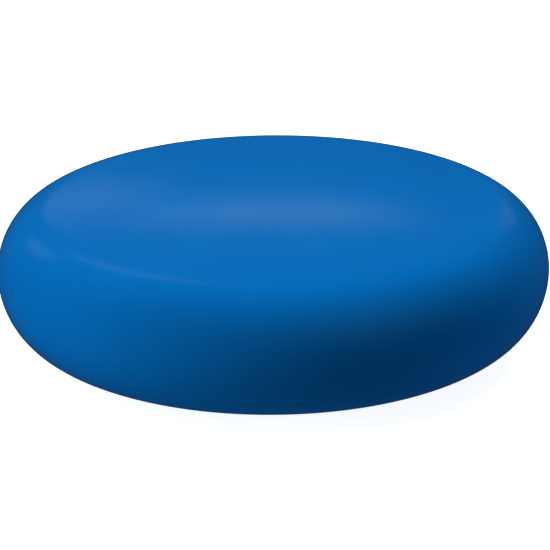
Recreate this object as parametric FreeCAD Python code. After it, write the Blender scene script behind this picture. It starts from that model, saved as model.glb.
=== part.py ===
import FreeCAD, Part
import math
import os

# Wobble cushion: a round, air-filled disc of soft PVC, moulded in one piece, with a rubber
# needle valve set into its rim. Sizes are in millimetres. The origin is the middle of the face
# that the cushion rests on, +Z is its axis, and the valve is at the back, on +Y.
#
# The moulding is divided where it bends in use, into rigid zones and the flexing zones between
# them. From the floor up: base_panel, lower_sidewall, equator_band, upper_sidewall,
# shoulder_ring, seat_flex and seat_panel.
#
# A place on the skin is named by its lean: the angle between the outward normal and +Z, which
# is 0 at the middle of the top, a right angle at the equator and half a turn at the base.

# Outside of the cushion
OUTER_RADIUS = 165.0
EQUATOR_HEIGHT = 46.0
EDGE_WIDTH = 32.5  # the rounded edge is two quarters of ellipses, both this wide
EDGE_RISE = 37.0  # from the equator up to the top of the upper ellipse
EDGE_DROP = 39.0  # and down to the foot of the lower one
CROWN_LEAN = math.radians(6.0)  # where the slightly domed top runs into the edge
BASE_LEAN = math.radians(180.0 - 7.2)  # where the edge runs into the domed underside
WALL = 3.5

# Zones of the moulding
BAND_HALF_HEIGHT = 8.0
FLEX_OUTER_RADIUS = 118.0
FLEX_INNER_RADIUS = 85.0
ZONE_GAP = 0.3  # between zones that move apart

# Needle valve, on an axis along Y at the height of the equator
SOCKET_RADIUS = 7.0
SOCKET_INNER_END = 138.0
INSERT_RADIUS = 5.0
INSERT_FACE = 163.5  # the outer face lies a little below the skin
COLLAR_RADIUS = 6.6
COLLAR_THICKNESS = 2.0
NOSE_LENGTH = 8.0
NOSE_ROOT_RADIUS = 4.0
NOSE_TIP_RADIUS = 2.4
NEEDLE_RADIUS = 1.25
CHANNEL_LENGTH = 12.0
MOUTH_RADIUS = 2.4
MOUTH_DEPTH = 1.5

EDGE_CENTRE = OUTER_RADIUS - EDGE_WIDTH
POLE = 0.0
EQUATOR = math.pi / 2
BACK = FreeCAD.Vector(0, 1, 0)


def meridian_point(radius, height):
    return FreeCAD.Vector(radius, 0, height)


def ellipse_size(inset, lean):
    """Half width and half height of the ellipse that the edge follows at this lean."""
    half_height = EDGE_RISE if lean <= EQUATOR else EDGE_DROP
    return EDGE_WIDTH - inset, half_height - inset


def edge_turn(inset, lean):
    """The ellipse's own angle, from its top, where the skin has this lean."""
    width, half_height = ellipse_size(inset, lean)
    return math.atan2(width * math.sin(lean), half_height * math.cos(lean))


def edge_point(inset, lean):
    width, half_height = ellipse_size(inset, lean)
    turn = edge_turn(inset, lean)
    radius = EDGE_CENTRE + width * math.sin(turn)
    return meridian_point(radius, EQUATOR_HEIGHT + half_height * math.cos(turn))


def dome_radius(inset, rim_lean):
    """Radius of the sphere that meets the edge smoothly at this lean."""
    return edge_point(inset, rim_lean).x / math.sin(rim_lean)


def dome_point(inset, lean, rim_lean):
    sphere = dome_radius(inset, rim_lean)
    rim = edge_point(inset, rim_lean)
    rise = sphere * (math.cos(lean) - math.cos(rim_lean))
    return meridian_point(sphere * math.sin(lean), rim.z + rise)


def dome_lean_at_height(inset, height, rim_lean):
    rise = height - edge_point(inset, rim_lean).z
    return math.acos(math.cos(rim_lean) + rise / dome_radius(inset, rim_lean))


def crown_lean_at_radius(radius):
    return math.asin(radius / dome_radius(0, CROWN_LEAN))


def edge_lean_at_height(height):
    half_height = EDGE_RISE if height >= EQUATOR_HEIGHT else EDGE_DROP
    turn = math.acos((height - EQUATOR_HEIGHT) / half_height)
    return math.atan2(half_height * math.sin(turn), EDGE_WIDTH * math.cos(turn))


def ellipse_arc(inset, start, end):
    """Part of the rounded edge between two leans on the same side of the equator."""
    centre = meridian_point(EDGE_CENTRE, EQUATOR_HEIGHT)
    width, half_height = ellipse_size(inset, (start + end) / 2)
    top = centre + FreeCAD.Vector(0, 0, half_height)
    side = centre + FreeCAD.Vector(width, 0, 0)
    ellipse = Part.Ellipse(top, side, centre)
    arc = Part.ArcOfEllipse(ellipse, edge_turn(inset, start), edge_turn(inset, end))
    return arc.toShape()


def edge_curves(inset, start, end):
    """Part of the rounded edge between two leans, as one arc or as two that meet at the equator."""
    if start < EQUATOR < end:
        return [ellipse_arc(inset, start, EQUATOR), ellipse_arc(inset, EQUATOR, end)]
    return [ellipse_arc(inset, start, end)]


def dome_curve(inset, start, end, rim_lean):
    leans = (start, (start + end) / 2, end)
    return Part.Arc(*[dome_point(inset, lean, rim_lean) for lean in leans]).toShape()


def line(start, end):
    return Part.LineSegment(start, end).toShape()


def revolve(edges):
    """Solid of revolution about Z from the edges of a closed profile."""
    wire = Part.Wire(Part.__sortEdges__(edges))
    face = Part.Face(wire)
    turned = face.revolve(FreeCAD.Vector(0, 0, 0), FreeCAD.Vector(0, 0, 1), 360)
    return Part.Solid(turned) if turned.ShapeType != "Solid" else turned


def edge_zone(start, end):
    """Ring of wall from the rounded edge, cut square to the skin at both leans."""
    cuts = [line(edge_point(0, lean), edge_point(WALL, lean)) for lean in (start, end)]
    return revolve(edge_curves(0, start, end) + edge_curves(WALL, start, end) + cuts)


def crown_ring(start, end):
    """Ring of wall from the domed top."""
    cuts = [
        line(dome_point(0, lean, CROWN_LEAN), dome_point(WALL, lean, CROWN_LEAN))
        for lean in (start, end)
    ]
    curves = [dome_curve(inset, start, end, CROWN_LEAN) for inset in (0, WALL)]
    return revolve(cuts + curves)


def seat_panel():
    """Round middle of the top, where the weight goes."""
    rim = crown_lean_at_radius(FLEX_INNER_RADIUS - ZONE_GAP)
    curves = [dome_curve(inset, POLE, rim, CROWN_LEAN) for inset in (0, WALL)]
    axis = line(dome_point(0, POLE, CROWN_LEAN), dome_point(WALL, POLE, CROWN_LEAN))
    cut = line(dome_point(0, rim, CROWN_LEAN), dome_point(WALL, rim, CROWN_LEAN))
    return revolve(curves + [axis, cut])


def seat_flex():
    """Ring of the top that gives as the seat sinks."""
    return crown_ring(
        crown_lean_at_radius(FLEX_INNER_RADIUS), crown_lean_at_radius(FLEX_OUTER_RADIUS)
    )


def shoulder_ring():
    """Outer ring of the top, up to where the edge begins."""
    rim_radius = edge_point(0, CROWN_LEAN).x - ZONE_GAP
    return crown_ring(
        crown_lean_at_radius(FLEX_OUTER_RADIUS), crown_lean_at_radius(rim_radius)
    )


def upper_sidewall():
    return edge_zone(CROWN_LEAN, edge_lean_at_height(EQUATOR_HEIGHT + BAND_HALF_HEIGHT))


def lower_sidewall():
    band_foot = EQUATOR_HEIGHT - BAND_HALF_HEIGHT - ZONE_GAP
    return edge_zone(edge_lean_at_height(band_foot), BASE_LEAN)


def equator_band():
    """Widest ring of the cushion, with the hole that the valve socket fills."""
    top = edge_lean_at_height(EQUATOR_HEIGHT + BAND_HALF_HEIGHT)
    foot = edge_lean_at_height(EQUATOR_HEIGHT - BAND_HALF_HEIGHT)
    hole = valve_cylinder(SOCKET_RADIUS, SOCKET_INNER_END, OUTER_RADIUS + WALL)
    return edge_zone(top, foot).cut(hole)


def base_panel():
    """Underside: flat where it rests on the floor, then rising gently to the edge."""
    edges = []
    axis_points = []
    for inset in (0, WALL):
        flat_end = dome_lean_at_height(inset, inset, BASE_LEAN)
        flat_middle = meridian_point(0, inset)
        edges.append(line(flat_middle, dome_point(inset, flat_end, BASE_LEAN)))
        edges.append(dome_curve(inset, flat_end, BASE_LEAN, BASE_LEAN))
        axis_points.append(flat_middle)
    edges.append(line(*axis_points))
    edges.append(line(edge_point(0, BASE_LEAN), edge_point(WALL, BASE_LEAN)))
    return revolve(edges)


def edge_envelope():
    """Everything inside the outer surface, as far up and down as the rounded edge goes."""
    top = edge_point(0, CROWN_LEAN)
    foot = edge_point(0, BASE_LEAN)
    return revolve(edge_curves(0, CROWN_LEAN, BASE_LEAN) + [
        line(top, meridian_point(0, top.z)),
        line(meridian_point(0, top.z), meridian_point(0, foot.z)),
        line(meridian_point(0, foot.z), foot),
    ])


def on_valve_axis(distance):
    return FreeCAD.Vector(0, distance, EQUATOR_HEIGHT)


def valve_cylinder(radius, start, end):
    return Part.makeCylinder(radius, end - start, on_valve_axis(start), BACK)


def valve_cone(start_radius, end_radius, start, end):
    return Part.makeCone(start_radius, end_radius, end - start, on_valve_axis(start), BACK)


def valve_socket():
    """Moulded tube inside the rim that grips the valve insert, flush with the skin outside."""
    beyond = OUTER_RADIUS + WALL
    tube = valve_cylinder(SOCKET_RADIUS, SOCKET_INNER_END, beyond)
    tube = tube.cut(valve_cylinder(INSERT_RADIUS, SOCKET_INNER_END, beyond))
    return tube.common(edge_envelope())


def valve_insert():
    """Rubber plug with a blind needle channel, a collar behind the socket and a slit nose."""
    collar_start = SOCKET_INNER_END - COLLAR_THICKNESS
    plug = valve_cylinder(INSERT_RADIUS, SOCKET_INNER_END, INSERT_FACE)
    collar = valve_cylinder(COLLAR_RADIUS, collar_start, SOCKET_INNER_END)
    nose = valve_cone(NOSE_TIP_RADIUS, NOSE_ROOT_RADIUS, collar_start - NOSE_LENGTH, collar_start)
    mouth_end = INSERT_FACE - MOUTH_DEPTH
    channel = valve_cylinder(NEEDLE_RADIUS, mouth_end - CHANNEL_LENGTH, mouth_end)
    mouth = valve_cone(NEEDLE_RADIUS, MOUTH_RADIUS, mouth_end, INSERT_FACE)
    return plug.fuse(collar).fuse(nose).cut(channel).cut(mouth).removeSplitter()


NODES = {
    "base_panel": base_panel,
    "lower_sidewall": lower_sidewall,
    "equator_band": equator_band,
    "upper_sidewall": upper_sidewall,
    "shoulder_ring": shoulder_ring,
    "seat_flex": seat_flex,
    "seat_panel": seat_panel,
    "valve_socket": valve_socket,
    "valve_insert": valve_insert,
}


def main():
    os.makedirs("parts", exist_ok=True)
    for name, build in NODES.items():
        shape = build()
        shape.exportStep("parts/" + name + ".step")
        box = shape.BoundBox
        print(f"{name}: {shape.Volume / 1000:.2f} cm3, z {box.ZMin:.2f} to {box.ZMax:.2f},"
              f" valid {shape.isValid()}, solids {len(shape.Solids)}")


main()
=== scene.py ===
import math

import bmesh
import bpy
import numpy as np
from mathutils import Matrix, Vector


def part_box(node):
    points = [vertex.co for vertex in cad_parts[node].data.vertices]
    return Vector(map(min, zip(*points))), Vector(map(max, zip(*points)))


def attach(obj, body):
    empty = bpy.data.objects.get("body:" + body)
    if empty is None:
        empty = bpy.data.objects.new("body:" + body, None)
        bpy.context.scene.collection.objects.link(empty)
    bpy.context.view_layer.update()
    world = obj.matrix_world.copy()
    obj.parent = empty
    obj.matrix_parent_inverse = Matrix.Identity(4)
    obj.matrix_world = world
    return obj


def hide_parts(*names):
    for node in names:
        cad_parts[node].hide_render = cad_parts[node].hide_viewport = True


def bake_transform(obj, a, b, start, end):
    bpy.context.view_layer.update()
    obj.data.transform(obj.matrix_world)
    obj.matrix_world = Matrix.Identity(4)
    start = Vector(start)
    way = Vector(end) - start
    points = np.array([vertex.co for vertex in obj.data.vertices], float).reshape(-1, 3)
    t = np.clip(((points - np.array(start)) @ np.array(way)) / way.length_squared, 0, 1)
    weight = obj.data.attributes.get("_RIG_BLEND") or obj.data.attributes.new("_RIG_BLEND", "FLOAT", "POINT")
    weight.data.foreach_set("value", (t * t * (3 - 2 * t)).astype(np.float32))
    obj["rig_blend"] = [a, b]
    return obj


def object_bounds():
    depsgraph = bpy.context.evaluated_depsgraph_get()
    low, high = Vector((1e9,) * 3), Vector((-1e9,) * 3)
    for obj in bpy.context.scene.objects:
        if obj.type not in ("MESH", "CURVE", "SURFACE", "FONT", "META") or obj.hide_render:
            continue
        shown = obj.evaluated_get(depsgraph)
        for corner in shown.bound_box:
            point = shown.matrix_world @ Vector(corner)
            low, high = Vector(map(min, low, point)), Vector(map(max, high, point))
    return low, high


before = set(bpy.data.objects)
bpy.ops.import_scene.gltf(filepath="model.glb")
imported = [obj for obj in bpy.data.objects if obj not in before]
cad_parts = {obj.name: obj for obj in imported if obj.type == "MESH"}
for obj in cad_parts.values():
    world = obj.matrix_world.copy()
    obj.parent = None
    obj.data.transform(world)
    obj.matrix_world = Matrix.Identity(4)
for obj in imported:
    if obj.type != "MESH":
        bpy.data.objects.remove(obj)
cad_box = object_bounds()

# Wobble cushion: one moulded skin of soft blue PVC round a chamber of air, with a rubber needle
# valve at the back of its rim. Lengths are in metres, +Z is up and the valve is on +Y.
#
# A place on the skin is named by its azimuth about +Z and by its way, the distance along the
# profile from the middle of the top. Its lean is the angle between the outward normal and +Z: 0
# at the middle of the top, a right angle at the equator and half a turn at the middle of the
# underside.

MM = 0.001
OUTER_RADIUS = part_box("equator_band")[1].x
BAND_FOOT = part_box("equator_band")[0].z
EQUATOR_HEIGHT = (BAND_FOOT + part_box("equator_band")[1].z) / 2
CROWN_RIM_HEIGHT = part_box("upper_sidewall")[1].z
BASE_RIM_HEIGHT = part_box("lower_sidewall")[0].z
EDGE_WIDTH = 32.5 * MM  # the rounded edge is two quarters of ellipses, both this wide
EDGE_RISE = 37 * MM  # from the equator up to the top of the upper ellipse
EDGE_DROP = 39 * MM  # and down to the foot of the lower one
EDGE_CENTRE = OUTER_RADIUS - EDGE_WIDTH
WALL = 3.5 * MM

TOP_POLE = 0.0
EQUATOR = math.pi / 2
BASE_POLE = math.pi

SEGMENTS = 192  # of the skin's mesh, all round
VALVE_AZIMUTH = math.pi / 2
VALVE_REACH = 11 * MM  # this near to the valve's axis, the skin's mesh is finer
FINER_BY = 12


# ---------------------------------------------------------------- shape of the skin

def lean_at_edge_height(height):
    """Lean of the rounded edge where it is this high."""
    half_height = EDGE_RISE if height > EQUATOR_HEIGHT else EDGE_DROP
    turn = math.acos((height - EQUATOR_HEIGHT) / half_height)
    return math.atan2(half_height * math.sin(turn), EDGE_WIDTH * math.cos(turn))


CROWN_LEAN = lean_at_edge_height(CROWN_RIM_HEIGHT)
BASE_LEAN = lean_at_edge_height(BASE_RIM_HEIGHT)


def edge_profile(lean):
    """Radius and height of the rounded edge."""
    half_height = np.where(lean < EQUATOR, EDGE_RISE, EDGE_DROP)
    turn = np.arctan2(EDGE_WIDTH * np.sin(lean), half_height * np.cos(lean))
    radius = EDGE_CENTRE + EDGE_WIDTH * np.sin(turn)
    return radius, EQUATOR_HEIGHT + half_height * np.cos(turn)


def dome_profile(lean, rim_lean):
    """Radius and height of the shallow dome that meets the edge at the rim lean."""
    rim_radius, rim_height = edge_profile(rim_lean)
    sphere = rim_radius / math.sin(rim_lean)
    return sphere * np.sin(lean), rim_height + sphere * (np.cos(lean) - math.cos(rim_lean))


CONTACT_SOFTNESS = 0.3 * MM  # how high the skin still curves in where it leaves the floor


def sharp_profile(lean):
    """Radius and height of the whole skin, with the underside pressed flat on the floor."""
    radius, height = edge_profile(lean)
    top_radius, top_height = dome_profile(lean, CROWN_LEAN)
    foot_radius, foot_height = dome_profile(lean, BASE_LEAN)
    pressed = (foot_height + np.sqrt(foot_height ** 2 + CONTACT_SOFTNESS ** 2)) / 2
    on_crown = lean < CROWN_LEAN
    on_base = lean > BASE_LEAN
    radius = np.where(on_crown, top_radius, np.where(on_base, foot_radius, radius))
    height = np.where(on_crown, top_height, np.where(on_base, pressed, height))
    return radius, height


PROFILE_SAMPLES = 20001
PROFILE_STEP = 0.25 * MM
EASING = 6 * MM  # the skin's turns are spread over about this far each way


def blurred(values, sign):
    """Values averaged with their neighbours. Past each pole they go on mirrored, with this sign."""
    reach = int(4 * EASING / PROFILE_STEP)
    steps = np.arange(-reach, reach + 1) * PROFILE_STEP
    weights = np.exp(-(steps / EASING) ** 2 / 2)
    before = sign * values[reach:0:-1]
    after = sign * values[-2:-reach - 2:-1]
    return np.convolve(np.concatenate([before, values, after]), weights / weights.sum(), "valid")


def eased(values, sign):
    """Smoothed values that keep the size of the whole."""
    once = blurred(values, sign)
    return once + blurred(values - once, sign)


def eased_profile():
    """Way along the skin from the middle of the top to the middle of the underside, with the
    radius, height and lean there."""
    radius, height = sharp_profile(np.linspace(TOP_POLE, BASE_POLE, PROFILE_SAMPLES))
    way = np.concatenate([[0], np.cumsum(np.hypot(np.diff(radius), np.diff(height)))])
    even = np.linspace(0, way[-1], int(way[-1] / PROFILE_STEP) + 1)
    radius = eased(np.interp(even, way, radius), -1)
    height = np.maximum(eased(np.interp(even, way, height), 1), 0)
    lean = np.arctan2(-np.gradient(height), np.gradient(radius))
    return even, radius, height, lean


WAY, WAY_RADIUS, WAY_HEIGHT, WAY_LEAN = eased_profile()
EQUATOR_WAY = WAY[np.argmax(WAY_RADIUS)]
BASE_WAY = WAY[-1]


def way_above_equator(radius):
    above = WAY < EQUATOR_WAY
    return float(np.interp(radius, WAY_RADIUS[above], WAY[above]))


CROWN_RIM_WAY = way_above_equator(float(edge_profile(CROWN_LEAN)[0]))


def height_at(way):
    return float(np.interp(way, WAY, WAY_HEIGHT))


def swell(azimuth, lean):
    """Slight unevenness of the inflated edge, as a distance along the normal."""
    uneven = 0.30 * np.cos(2 * azimuth - 0.6) + 0.22 * np.cos(3 * azimuth + 1.1)
    return MM * uneven * np.sin(lean) ** 2


def skin_points(azimuth, way, inset):
    """Points of the skin at one place along the profile, moved in from the outside by inset."""
    lean = np.interp(way, WAY, WAY_LEAN)
    moved = swell(azimuth, lean) - inset
    radius = np.interp(way, WAY, WAY_RADIUS) + moved * np.sin(lean)
    height = np.interp(way, WAY, WAY_HEIGHT) + moved * np.cos(lean)
    return np.stack([radius * np.cos(azimuth), radius * np.sin(azimuth), height], axis=-1)


def ways_between(start, end, rows, close_rows=()):
    """Places from start to end, with one more very close to each end that close_rows names.

    The close ones keep the shading even up to the border with the next piece."""
    ways = list(np.linspace(start, end, rows + 1))
    step = (end - start) / rows
    if "start" in close_rows:
        ways.insert(1, start + step / 10)
    if "end" in close_rows:
        ways.insert(-1, end - step / 10)
    return ways


# ---------------------------------------------------------------- meshes

def mesh_object(name, points, faces):
    """Smooth closed mesh whose faces all look outwards, in the scene."""
    mesh = bpy.data.meshes.new(name)
    mesh.from_pydata([tuple(p) for p in points], [], faces)
    shaped = bmesh.new()
    shaped.from_mesh(mesh)
    bmesh.ops.recalc_face_normals(shaped, faces=shaped.faces)
    shaped.to_mesh(mesh)
    shaped.free()
    smooth_but_for_cuts(mesh)
    made = bpy.data.objects.new(name, mesh)
    bpy.context.scene.collection.objects.link(made)
    return made


def smooth_but_for_cuts(mesh):
    """Smooth shading, except over the edges where the wall is cut."""
    mesh.shade_smooth()
    mesh.set_sharp_from_angle(angle=math.radians(50))


def loft_faces(rows):
    """Faces between rows of point numbers. A row of one point closes that end."""
    faces = []
    for low, high in zip(rows, rows[1:]):
        count = max(len(low), len(high))
        for n in range(count):
            after = (n + 1) % count
            corners = [low[n % len(low)], high[n % len(high)]]
            corners += [high[after % len(high)], low[after % len(low)]]
            corners = list(dict.fromkeys(corners))
            if len(corners) > 2:
                faces.append(corners)
    return faces


def azimuths():
    """Azimuths of the mesh all round the skin, closer together beside the valve."""
    around = np.linspace(0, 2 * math.pi, SEGMENTS, endpoint=False)
    step = around[1]
    beside_valve = abs(around + step / 2 - VALVE_AZIMUTH) < VALVE_REACH / OUTER_RADIUS
    between = [around[beside_valve] + step * n / FINER_BY for n in range(1, FINER_BY)]
    return np.sort(np.concatenate([around, *between]))


def skin_piece(name, ways):
    """Closed piece of the wall: its outside over these places, and its inside back again."""
    around = azimuths()
    points = []
    rows = []
    for inset, order in ((0, ways), (WALL, ways[::-1])):
        for way in order:
            at_pole = way in (0, BASE_WAY)
            row = skin_points(around[:1] if at_pole else around, way, inset)
            rows.append(list(range(len(points), len(points) + len(row))))
            points.extend(row)
    if len(rows[0]) > 1:
        rows.append(rows[0])
    return mesh_object(name, points, loft_faces(rows))


def keep_rest_place(piece):
    """Each point remembers where it lies at rest, so that the material stays put as it bends."""
    mesh = piece.data
    places = np.empty(3 * len(mesh.vertices), np.float32)
    mesh.vertices.foreach_get("co", places)
    mesh.attributes.new("rest_place", "FLOAT_VECTOR", "POINT").data.foreach_set("vector", places)


# ---------------------------------------------------------------- valve

VALVE_SEGMENTS = 96
SOCKET_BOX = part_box("valve_socket")
INSERT_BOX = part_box("valve_insert")
SOCKET_RADIUS = (SOCKET_BOX[1].x - SOCKET_BOX[0].x) / 2
SOCKET_INNER_END = SOCKET_BOX[0].y
INSERT_FACE = INSERT_BOX[1].y
INSERT_INNER_END = INSERT_BOX[0].y
INSERT_RADIUS = 5 * MM
NEEDLE_RADIUS = 1.25 * MM


def skin_depth_on_valve_axis(x, z):
    """How far back the skin is, at points near the valve."""
    near = abs(WAY - EQUATOR_WAY) < 20 * MM
    radius = np.interp(-z, -WAY_HEIGHT[near], WAY_RADIUS[near]) + swell(VALVE_AZIMUTH, EQUATOR)
    return np.sqrt(radius ** 2 - x ** 2)


def turned_on_valve_axis(name, outline, closed):
    """Solid turned about the valve's axis from (radius, depth, on_skin) points.

    Depth is along +Y: from the skin's surface where on_skin is true, and else from the origin.
    A closed outline makes a ring, and an open one starts and ends on the axis."""
    around = np.linspace(0, 2 * math.pi, VALVE_SEGMENTS, endpoint=False)
    points = []
    rows = []
    for radius, depth, on_skin in outline:
        turns = around if radius > 0 else around[:1]
        x = radius * np.cos(turns)
        z = EQUATOR_HEIGHT + radius * np.sin(turns)
        y = depth + (skin_depth_on_valve_axis(x, z) if on_skin else 0 * x)
        rows.append(list(range(len(points), len(points) + len(turns))))
        points.extend(np.stack([x, y, z], axis=-1))
    if closed:
        rows.append(rows[0])
    return mesh_object(name, points, loft_faces(rows))


def arc(centre, radius, start, end, steps):
    """Points of an arc in (radius, depth), angles in degrees from the radial direction."""
    angles = np.radians(np.linspace(start, end, steps))
    return [(centre[0] + radius * math.cos(a), centre[1] + radius * math.sin(a)) for a in angles]


def valve_collar():
    """Moulded ring that grips the plug: a low rounded lip on the skin and a tube behind it."""
    lip_radius = 0.9 * MM
    lip_centre = (SOCKET_RADIUS - 0.1 * MM, -0.45 * MM)
    flange = SOCKET_RADIUS + 1.5 * MM  # sunk in the skin's wall
    tube = SOCKET_RADIUS - 0.03 * MM
    bore = INSERT_RADIUS + 0.02 * MM
    outline = [(radius, depth, True) for radius, depth in arc(lip_centre, lip_radius, 200, 0, 22)]
    outline += [(flange, -0.50 * MM, True), (flange, -1.20 * MM, True)]
    outline += [(tube, -1.60 * MM, True), (tube, SOCKET_INNER_END, False)]
    outline += [(bore, SOCKET_INNER_END, False), (bore, -1.20 * MM, True)]
    return turned_on_valve_axis("valve_collar", outline, closed=True)


def valve_plug():
    """Rubber plug with a needle channel down its middle and a nose that reaches inside."""
    rounding = 0.5 * MM
    mouth = 2.2 * MM
    channel_end = INSERT_FACE - 13.5 * MM
    outline = [(0, INSERT_INNER_END), (2.2 * MM, INSERT_INNER_END)]
    outline += [(3.9 * MM, SOCKET_INNER_END - 2.2 * MM), (6.3 * MM, SOCKET_INNER_END - 2.0 * MM)]
    outline += [(6.6 * MM, SOCKET_INNER_END - 0.3 * MM), (INSERT_RADIUS, SOCKET_INNER_END)]
    outline += arc((INSERT_RADIUS - rounding, INSERT_FACE - rounding), rounding, 0, 90, 8)
    outline += arc((3.5 * MM, INSERT_FACE + 0.05 * MM), 0.45 * MM, 0, -180, 9)
    outline += arc((mouth, INSERT_FACE - 0.3 * MM), 0.3 * MM, 90, 180, 5)
    outline += [(NEEDLE_RADIUS, INSERT_FACE - 1.5 * MM), (NEEDLE_RADIUS, channel_end)]
    outline += [(0, channel_end)]
    return turned_on_valve_axis("valve_plug", [(*p, False) for p in outline], closed=False)


WELD = 0.002 * MM  # points nearer than this to each other become one
CUTTER_REACH = 12 * MM  # how far it goes past the skin, inwards and outwards


def cut_valve_hole(piece):
    """Opens the skin where the valve's collar passes through it."""
    inside = OUTER_RADIUS - CUTTER_REACH
    outside = OUTER_RADIUS + CUTTER_REACH
    outline = [
        (0, inside, False),
        (SOCKET_RADIUS, inside, False),
        (SOCKET_RADIUS, outside, False),
        (0, outside, False),
    ]
    cutter = turned_on_valve_axis("valve_hole", outline, closed=False)
    cut = piece.modifiers.new("valve_hole", "BOOLEAN")
    cut.operation = "DIFFERENCE"
    cut.solver = "EXACT"
    cut.object = cutter
    evaluated = piece.evaluated_get(bpy.context.evaluated_depsgraph_get())
    opened = bpy.data.meshes.new_from_object(evaluated)
    piece.modifiers.clear()
    bpy.data.objects.remove(cutter)
    clean(opened)
    smooth_but_for_cuts(opened)
    piece.data = opened


def clean(mesh):
    """Welds points that a cut leaves on top of each other, and splits its many-sided faces."""
    shaped = bmesh.new()
    shaped.from_mesh(mesh)
    bmesh.ops.remove_doubles(shaped, verts=shaped.verts, dist=WELD)
    bmesh.ops.dissolve_degenerate(shaped, edges=shaped.edges, dist=WELD)
    many_sided = [face for face in shaped.faces if len(face.verts) > 4]
    bmesh.ops.triangulate(shaped, faces=many_sided)
    shaped.to_mesh(mesh)
    shaped.free()


# ---------------------------------------------------------------- materials

def new_material(name):
    """Material with a fresh Principled shader. Returns it, its node tree and the shader."""
    material = bpy.data.materials.new(name)
    material.use_nodes = True
    tree = material.node_tree
    shader = tree.nodes["Principled BSDF"]
    return material, tree, shader


def noise(tree, place, scale, detail=2.0):
    """Cloudy pattern from 0 to 1, finer as its scale grows."""
    texture = tree.nodes.new("ShaderNodeTexNoise")
    texture.inputs["Scale"].default_value = scale
    texture.inputs["Detail"].default_value = detail
    tree.links.new(place, texture.inputs["Vector"])
    return texture.outputs["Fac"]


def remap(tree, value, low, high, to_low, to_high):
    """Value moved from one range to another, and held at the ends of it."""
    node = tree.nodes.new("ShaderNodeMapRange")
    node.inputs["From Min"].default_value = low
    node.inputs["From Max"].default_value = high
    node.inputs["To Min"].default_value = to_low
    node.inputs["To Max"].default_value = to_high
    tree.links.new(value, node.inputs["Value"])
    return node.outputs["Result"]


def mix_colour(tree, share, first, second):
    """Colour between two, where the first may be the output of a node."""
    node = tree.nodes.new("ShaderNodeMix")
    node.data_type = "RGBA"
    tree.links.new(share, node.inputs["Factor"])
    first_input, second_input = [s for s in node.inputs if s.type == "RGBA"]
    second_input.default_value = (*second, 1)
    if isinstance(first, tuple):
        first_input.default_value = (*first, 1)
    else:
        tree.links.new(first, first_input)
    return next(s for s in node.outputs if s.type == "RGBA")


def bump(tree, height, distance, strength, under=None):
    """Normal that a relief gives, over the relief under it if there is one."""
    node = tree.nodes.new("ShaderNodeBump")
    node.inputs["Distance"].default_value = distance
    node.inputs["Strength"].default_value = strength
    tree.links.new(height, node.inputs["Height"])
    if under is not None:
        tree.links.new(under, node.inputs["Normal"])
    return node.outputs["Normal"]


def vector_math(tree, operation, vector, constant):
    """Difference or quotient of a vector and a constant one."""
    node = tree.nodes.new("ShaderNodeVectorMath")
    node.operation = operation
    node.inputs[1].default_value = constant
    tree.links.new(vector, node.inputs[0])
    return node.outputs["Vector"]


def length(tree, vector):
    node = tree.nodes.new("ShaderNodeVectorMath")
    node.operation = "LENGTH"
    tree.links.new(vector, node.inputs[0])
    return node.outputs["Value"]


def calculate(tree, operation, first, second):
    """Sum or product of the outputs of two nodes."""
    node = tree.nodes.new("ShaderNodeMath")
    node.operation = operation
    tree.links.new(first, node.inputs[0])
    tree.links.new(second, node.inputs[1])
    return node.outputs["Value"]


def rest_place(tree):
    """Where the shaded point lies at rest."""
    node = tree.nodes.new("ShaderNodeAttribute")
    node.attribute_name = "rest_place"
    return node.outputs["Vector"]


def height_of(tree, place):
    node = tree.nodes.new("ShaderNodeSeparateXYZ")
    tree.links.new(place, node.inputs["Vector"])
    return node.outputs["Z"]


MOST_WEAR = 0.5


def wear(tree, place):
    """Share of scuffs and dust, only where the skin stands on the floor."""
    near_floor = remap(tree, height_of(tree, place), 0.2 * MM, 5 * MM, MOST_WEAR, 0)
    scuffs = remap(tree, noise(tree, place, 120.0, 5.0), 0.42, 0.62, 0.2, 1)
    return calculate(tree, "MULTIPLY", near_floor, scuffs)


def skin_colour(tree, place, worn):
    """Blue with broad clouds, fine darker mottling and dusty wear."""
    cloud = remap(tree, noise(tree, place, 14.0, 3.0), 0.3, 0.7, 0, 1)
    body = mix_colour(tree, cloud, (0.0012, 0.142, 0.470), (0.0016, 0.152, 0.500))
    mottle = remap(tree, noise(tree, place, 260.0, 3.0), 0.35, 0.65, 0, 0.12)
    body = mix_colour(tree, mottle, body, (0.0008, 0.110, 0.380))
    return mix_colour(tree, worn, body, (0.045, 0.150, 0.360))


def skin_roughness(tree, place, worn):
    satin = remap(tree, noise(tree, place, 40.0, 4.0), 0.3, 0.7, 0.13, 0.17)
    dull = remap(tree, worn, 0, MOST_WEAR, 0, 0.3)
    return calculate(tree, "ADD", satin, dull)


def pvc_skin():
    """Satin blue PVC with a fine moulded grain, dulled and dusty where it stands on the floor."""
    material, tree, shader = new_material("pvc_skin")
    place = rest_place(tree)
    worn = wear(tree, place)
    tree.links.new(skin_colour(tree, place, worn), shader.inputs["Base Color"])
    tree.links.new(skin_roughness(tree, place, worn), shader.inputs["Roughness"])
    waves = bump(tree, noise(tree, place, 90.0, 2.0), 0.15 * MM, 0.3)
    grain = bump(tree, noise(tree, place, 1300.0, 2.0), 0.06 * MM, 0.2, waves)
    tree.links.new(grain, shader.inputs["Normal"])
    shader.inputs["Specular IOR Level"].default_value = 0.15
    return material


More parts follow.
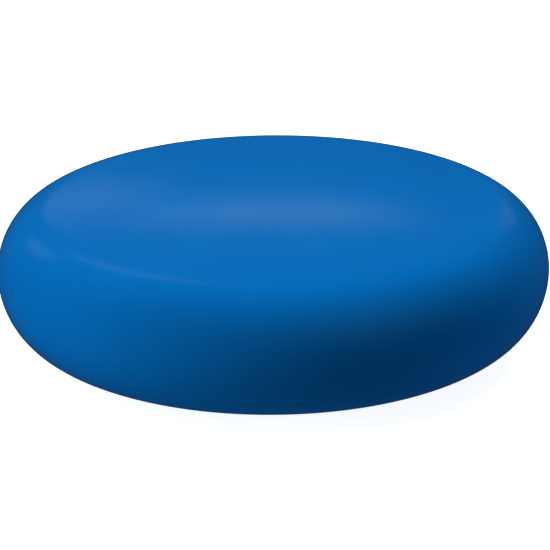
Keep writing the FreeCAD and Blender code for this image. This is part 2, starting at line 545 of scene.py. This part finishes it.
def valve_rubber():
    """Dark, matte soft rubber with a fine speckle."""
    material, tree, shader = new_material("valve_rubber")
    place = rest_place(tree)
    speckle = remap(tree, noise(tree, place, 900.0, 3.0), 0.3, 0.7, 0, 1)
    colour = mix_colour(tree, speckle, (0.010, 0.024, 0.060), (0.014, 0.034, 0.082))
    tree.links.new(colour, shader.inputs["Base Color"])
    gloss = remap(tree, speckle, 0, 1, 0.5, 0.62)
    tree.links.new(gloss, shader.inputs["Roughness"])
    grain = noise(tree, place, 2600.0, 2.0)
    tree.links.new(bump(tree, grain, 0.05 * MM, 0.4), shader.inputs["Normal"])
    return material


# ---------------------------------------------------------------- the cushion

SKIN_MATERIAL = pvc_skin()
RUBBER_MATERIAL = valve_rubber()


def finish_piece(piece, material):
    """Rest places, material and slot of a piece whose mesh is final."""
    keep_rest_place(piece)
    piece.data.materials.clear()
    piece.data.materials.append(material)


def clipped_share(values, start, end):
    return np.clip((values - start) / (end - start), 0, 1)


def smooth_step(share):
    return share * share * (3 - 2 * share)


def set_weights(piece, weights):
    values = piece.data.attributes["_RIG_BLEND"].data
    values.foreach_set("value", weights.astype(np.float32))


SOFT_ENDS = 0.4  # share of the squash that eases in and out at its two ends


def blend_by_height(piece, low_body, low, high_body, high):
    """The edge squashes nearly evenly between two heights, so it keeps its round outline."""
    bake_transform(piece, low_body, high_body, start=(0, 0, low), end=(0, 0, high))
    share = clipped_share(np.array([v.co.z for v in piece.data.vertices]), low, high)
    set_weights(piece, (1 - SOFT_ENDS) * share + SOFT_ENDS * smooth_step(share))


CONTACT_HEIGHT = 1.5 * MM  # below this, the underside stays still as the cushion tilts
FOOT_WAY = EQUATOR_WAY + 62 * MM  # a little past where the edge runs into the underside


def lower_skin():
    """Underside and lower half of the edge, up to the equator."""
    below_valve = EQUATOR_WAY + VALVE_REACH
    ways = ways_between(BASE_WAY, FOOT_WAY, rows=40)
    ways += ways_between(FOOT_WAY, below_valve, rows=36)[1:]
    ways += ways_between(below_valve, EQUATOR_WAY, rows=24, close_rows=("end",))[1:]
    piece = skin_piece("skin_lower", ways)
    cut_valve_hole(piece)
    finish_piece(piece, SKIN_MATERIAL)
    blend_by_height(piece, "base", CONTACT_HEIGHT, "rim", BAND_FOOT)
    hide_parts("base_panel", "lower_sidewall")


def upper_skin():
    """Upper half of the edge, from the equator to where the crown begins."""
    above_valve = EQUATOR_WAY - VALVE_REACH
    ways = ways_between(EQUATOR_WAY, above_valve, rows=24, close_rows=("start",))
    ways += ways_between(above_valve, CROWN_RIM_WAY, rows=36, close_rows=("end",))[1:]
    piece = skin_piece("skin_upper", ways)
    cut_valve_hole(piece)
    finish_piece(piece, SKIN_MATERIAL)
    blend_by_height(piece, "rim", EQUATOR_HEIGHT, "top", height_at(CROWN_RIM_WAY))
    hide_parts("equator_band", "upper_sidewall")


SEAT_STILL_RADIUS = 126 * MM  # nothing further out moves as the seat sinks
SEAT_LEVEL_RADIUS = 46 * MM  # everything further in sinks with it


def blend_by_radius(piece):
    """The crown gives by distance from its axis, on both faces of the wall alike."""
    highest = cad_box[1].z
    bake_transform(piece, "top", "seat", start=(0, 0, CROWN_RIM_HEIGHT), end=(0, 0, highest))
    radius = np.array([math.hypot(v.co.x, v.co.y) for v in piece.data.vertices])
    share = clipped_share(radius, SEAT_STILL_RADIUS, SEAT_LEVEL_RADIUS)
    set_weights(piece, smooth_step(share))


def crown_skin():
    """Domed top, which dips in the middle as the seat sinks."""
    ways = ways_between(CROWN_RIM_WAY, 0, rows=56, close_rows=("start",))
    piece = skin_piece("skin_crown", ways)
    finish_piece(piece, SKIN_MATERIAL)
    blend_by_radius(piece)
    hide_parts("shoulder_ring", "seat_flex", "seat_panel")


def valve():
    """Collar and plug, both held by the rim."""
    collar = valve_collar()
    finish_piece(collar, SKIN_MATERIAL)
    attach(collar, "rim")
    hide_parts("valve_socket")
    plug = valve_plug()
    finish_piece(plug, RUBBER_MATERIAL)
    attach(plug, "rim")
    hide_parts("valve_insert")


lower_skin()
upper_skin()
crown_skin()
valve()


# ---------------------------------------------------------------- floor, light and camera

FLOOR_RADIUS = 6.0


def floor_paint():
    """White that glows nearly as brightly as the backdrop, so a shadow on it is only faint."""
    material, tree, shader = new_material("floor_paint")
    shader.inputs["Base Color"].default_value = (0.8, 0.8, 0.8, 1)
    shader.inputs["Roughness"].default_value = 0.9
    shader.inputs["Emission Color"].default_value = (1, 1, 1, 1)
    place = tree.nodes.new("ShaderNodeTexCoord").outputs["Object"]
    brighter = remap(tree, length(tree, place), 0.3, 1.2, 0.9, 1.0)
    tree.links.new(brighter, shader.inputs["Emission Strength"])
    return material


def floor():
    """Plain white floor that lights nothing, so that the cushion's shaded side stays dark."""
    turns = np.linspace(0, 2 * math.pi, 64, endpoint=False)
    points = [(FLOOR_RADIUS * math.cos(a), FLOOR_RADIUS * math.sin(a), 0) for a in turns]
    mesh = bpy.data.meshes.new("floor")
    mesh.from_pydata(points, [], [range(len(points))])
    mesh.materials.append(floor_paint())
    ground = bpy.data.objects.new("floor", mesh)
    bpy.context.scene.collection.objects.link(ground)
    ground.visible_diffuse = False
    ground.visible_glossy = False
    ground.visible_shadow = False


LAMP_DISTANCE = 2.6
SOFT_BOX_SIZE = 1.4
CUSHION_MIDDLE = Vector((0, 0, EQUATOR_HEIGHT))


def direction(azimuth, elevation):
    """Unit vector. The azimuth is from +Y towards +X, both in degrees."""
    turn, rise = math.radians(azimuth), math.radians(elevation)
    level = math.cos(rise)
    return Vector((math.sin(turn) * level, math.cos(turn) * level, math.sin(rise)))


def soft_box(name, azimuth, elevation, power, colour=(1, 1, 1)):
    """Broad lamp that faces the cushion and models its form, but isn't reflected in its skin."""
    towards = direction(azimuth, elevation)
    lamp = bpy.data.lights.new(name, "AREA")
    lamp.size = SOFT_BOX_SIZE
    lamp.energy = power
    lamp.color = colour
    lamp.cycles.use_multiple_importance_sampling = False
    holder = bpy.data.objects.new(name, lamp)
    holder.location = CUSHION_MIDDLE + towards * LAMP_DISTANCE
    holder.rotation_mode = "QUATERNION"
    holder.rotation_quaternion = (-towards).to_track_quat("-Z", "Y")
    holder.visible_camera = False
    holder.visible_glossy = False
    bpy.context.scene.collection.objects.link(holder)


def lights():
    """Lamps by azimuth, elevation and power, with a colour for the two that shine from below."""
    soft_box("key", -112, 50, 33)
    soft_box("front", -135, 20, 14)
    soft_box("overhead", 0, 65, 26)
    soft_box("back", 45, 60, 25)
    soft_box("back_low", 45, 20, 10)
    soft_box("bounce_left", -98, -25, 33, (0.9, 0.95, 1))
    soft_box("bounce_right", 90, -25, 26, (0.75, 0.87, 1))


GLOW_CORE = 0.4  # share of a glow's size that is evenly bright
LIGHT_FROM_ALL_ROUND = 0.02


def glow(tree, azimuth, elevation, width, height, strength):
    """Soft oval patch of light in the backdrop, around this direction.

    Its half width and half height are shares of the backdrop's radius."""
    place = tree.nodes.new("ShaderNodeTexCoord").outputs["Generated"]
    offset = vector_math(tree, "SUBTRACT", place, direction(azimuth, elevation))
    scaled = vector_math(tree, "DIVIDE", offset, (width, width, height))
    return remap(tree, length(tree, scaled), GLOW_CORE, 1, strength, 0)


def glows(tree):
    """What the skin mirrors: patches of light, over a faint light from all round."""
    streak_on_top = glow(tree, 0, 22.4, 0.15, 0.028, 0.95)
    sheen_at_left = glow(tree, -9, 17.5, 0.09, 0.08, 0.28)
    line_on_shoulder = glow(tree, -15, 39, 0.18, 0.15, 0.34)
    end_of_line = glow(tree, -37, 26, 0.17, 0.18, 0.34)
    sheen_at_right = glow(tree, 18, 18, 0.14, 0.08, 0.18)
    sheen_seen_from_behind = glow(tree, 135, 30, 0.60, 0.60, 0.12)
    patches = [streak_on_top, sheen_at_left, line_on_shoulder, end_of_line]
    patches += [sheen_at_right, sheen_seen_from_behind]
    total = tree.nodes.new("ShaderNodeValue").outputs["Value"]
    total.default_value = LIGHT_FROM_ALL_ROUND
    for patch in patches:
        total = calculate(tree, "ADD", total, patch)
    return total


def backdrop():
    """White all round to the eye. To the cushion it is nearly dark, with a few soft glows."""
    world = bpy.data.worlds.new("backdrop")
    world.use_nodes = True
    tree = world.node_tree
    seen = tree.nodes["Background"]
    seen.inputs["Color"].default_value = (1, 1, 1, 1)
    given = tree.nodes.new("ShaderNodeBackground")
    given.inputs["Color"].default_value = (0.8, 1, 0.95, 1)
    tree.links.new(glows(tree), given.inputs["Strength"])
    chosen = tree.nodes.new("ShaderNodeMixShader")
    path = tree.nodes.new("ShaderNodeLightPath")
    tree.links.new(path.outputs["Is Camera Ray"], chosen.inputs["Fac"])
    tree.links.new(given.outputs["Background"], chosen.inputs[1])
    tree.links.new(seen.outputs["Background"], chosen.inputs[2])
    tree.links.new(chosen.outputs["Shader"], tree.nodes["World Output"].inputs["Surface"])
    bpy.context.scene.world = world


CAMERA_ELEVATION = math.radians(20.5)
CAMERA_DISTANCE = 8 * OUTER_RADIUS
CAMERA_ROLL = math.radians(-0.4)
WIDTH_SHARE = 0.9945  # of the picture that the cushion's diameter takes at its middle
SHIFT = (0.0034, -0.0259)  # of the view, in shares of the picture
SENSOR_WIDTH = 36.0


def camera():
    """Camera in front of the cushion and a little above it."""
    lens = bpy.data.cameras.new("camera")
    lens.sensor_width = SENSOR_WIDTH
    lens.lens = SENSOR_WIDTH * WIDTH_SHARE * CAMERA_DISTANCE / (2 * OUTER_RADIUS)
    lens.shift_x, lens.shift_y = SHIFT
    holder = bpy.data.objects.new("camera", lens)
    back = Vector((0, -math.cos(CAMERA_ELEVATION), math.sin(CAMERA_ELEVATION)))
    holder.location = CUSHION_MIDDLE + back * CAMERA_DISTANCE
    turn = (-back).to_track_quat("-Z", "Y").to_matrix() @ Matrix.Rotation(CAMERA_ROLL, 3, "Z")
    holder.rotation_mode = "QUATERNION"
    holder.rotation_quaternion = turn.to_quaternion()
    bpy.context.scene.collection.objects.link(holder)
    bpy.context.scene.camera = holder


floor()
lights()
backdrop()
camera()
bpy.context.scene.view_settings.view_transform = "Standard"
